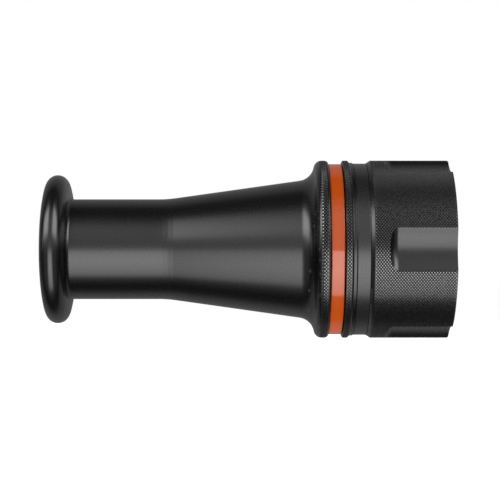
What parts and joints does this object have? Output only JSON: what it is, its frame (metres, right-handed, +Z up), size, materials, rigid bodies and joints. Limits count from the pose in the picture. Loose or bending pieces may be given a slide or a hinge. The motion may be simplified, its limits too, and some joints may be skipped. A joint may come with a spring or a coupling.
{
  "type": "fire hose nozzle",
  "caption": "Smooth-bore fire hose nozzle tip: tapered black barrel with a rounded outlet bumper, colour band and a scalloped full-swivel female hose coupling.",
  "frame": {"origin": "centre of the hose thread at the inlet mouth plane", "axes": "+X along the waterway, out of the inlet mouth towards the hose; water leaves the nozzle towards -X; +Z is up with the nozzle lying level; -Y faces the viewer, with one finger scallop centred on it"},
  "size_m": [0.1499, 0.066, 0.066],
  "materials": {
    "black_anodised": "black hard anodised, satin to semi-gloss, diamond knurled on the grips",
    "clear_anodised": "grey hard anodised, fine turned",
    "label_polymer": "smooth dark polymer band, satin",
    "orange_polymer": "orange moulded polymer, satin",
    "bumper_urethane": "moulded black urethane, smooth semi-gloss",
    "acetal": "moulded dark grey acetal, fine satin",
    "seal_rubber": "black nitrile rubber, matt",
    "stainless": "stainless steel, fine turned",
    "ball_steel": "polished stainless ball"
  },
  "bodies": {
    "coupling": {"swivel_coupling": "black_anodised", "label_band": "label_polymer", "race_plug": "stainless", "inlet_gasket": "seal_rubber"},
    "ball_set": {"swivel_balls": "ball_steel"},
    "nozzle": {"barrel": "black_anodised", "swivel_tailpiece": "clear_anodised", "tailpiece_seal": "seal_rubber", "tailpiece_lock_screws": "stainless", "flow_band": "orange_polymer", "outlet_bumper": "bumper_urethane", "orifice_insert": "black_anodised", "orifice_seal": "seal_rubber", "stream_straightener": "acetal", "straightener_clip": "stainless", "inner_swivel_seal": "seal_rubber", "outer_swivel_seal": "seal_rubber"}
  },
  "joints": [
    {"name": "nozzle_swivel", "type": "hinge", "parent": "coupling", "child": "nozzle", "pos_m": [-0.0331, 0, 0], "axis": [1, 0, 0], "continuous": true},
    {"name": "ball_orbit", "type": "hinge", "parent": "coupling", "child": "ball_set", "pos_m": [-0.0331, 0, 0], "axis": [1, 0, 0], "continuous": true}
  ],
  "couplings": [
    {"joint": "ball_orbit", "follows": "nozzle_swivel", "ratio": 0.4525}
  ]
}
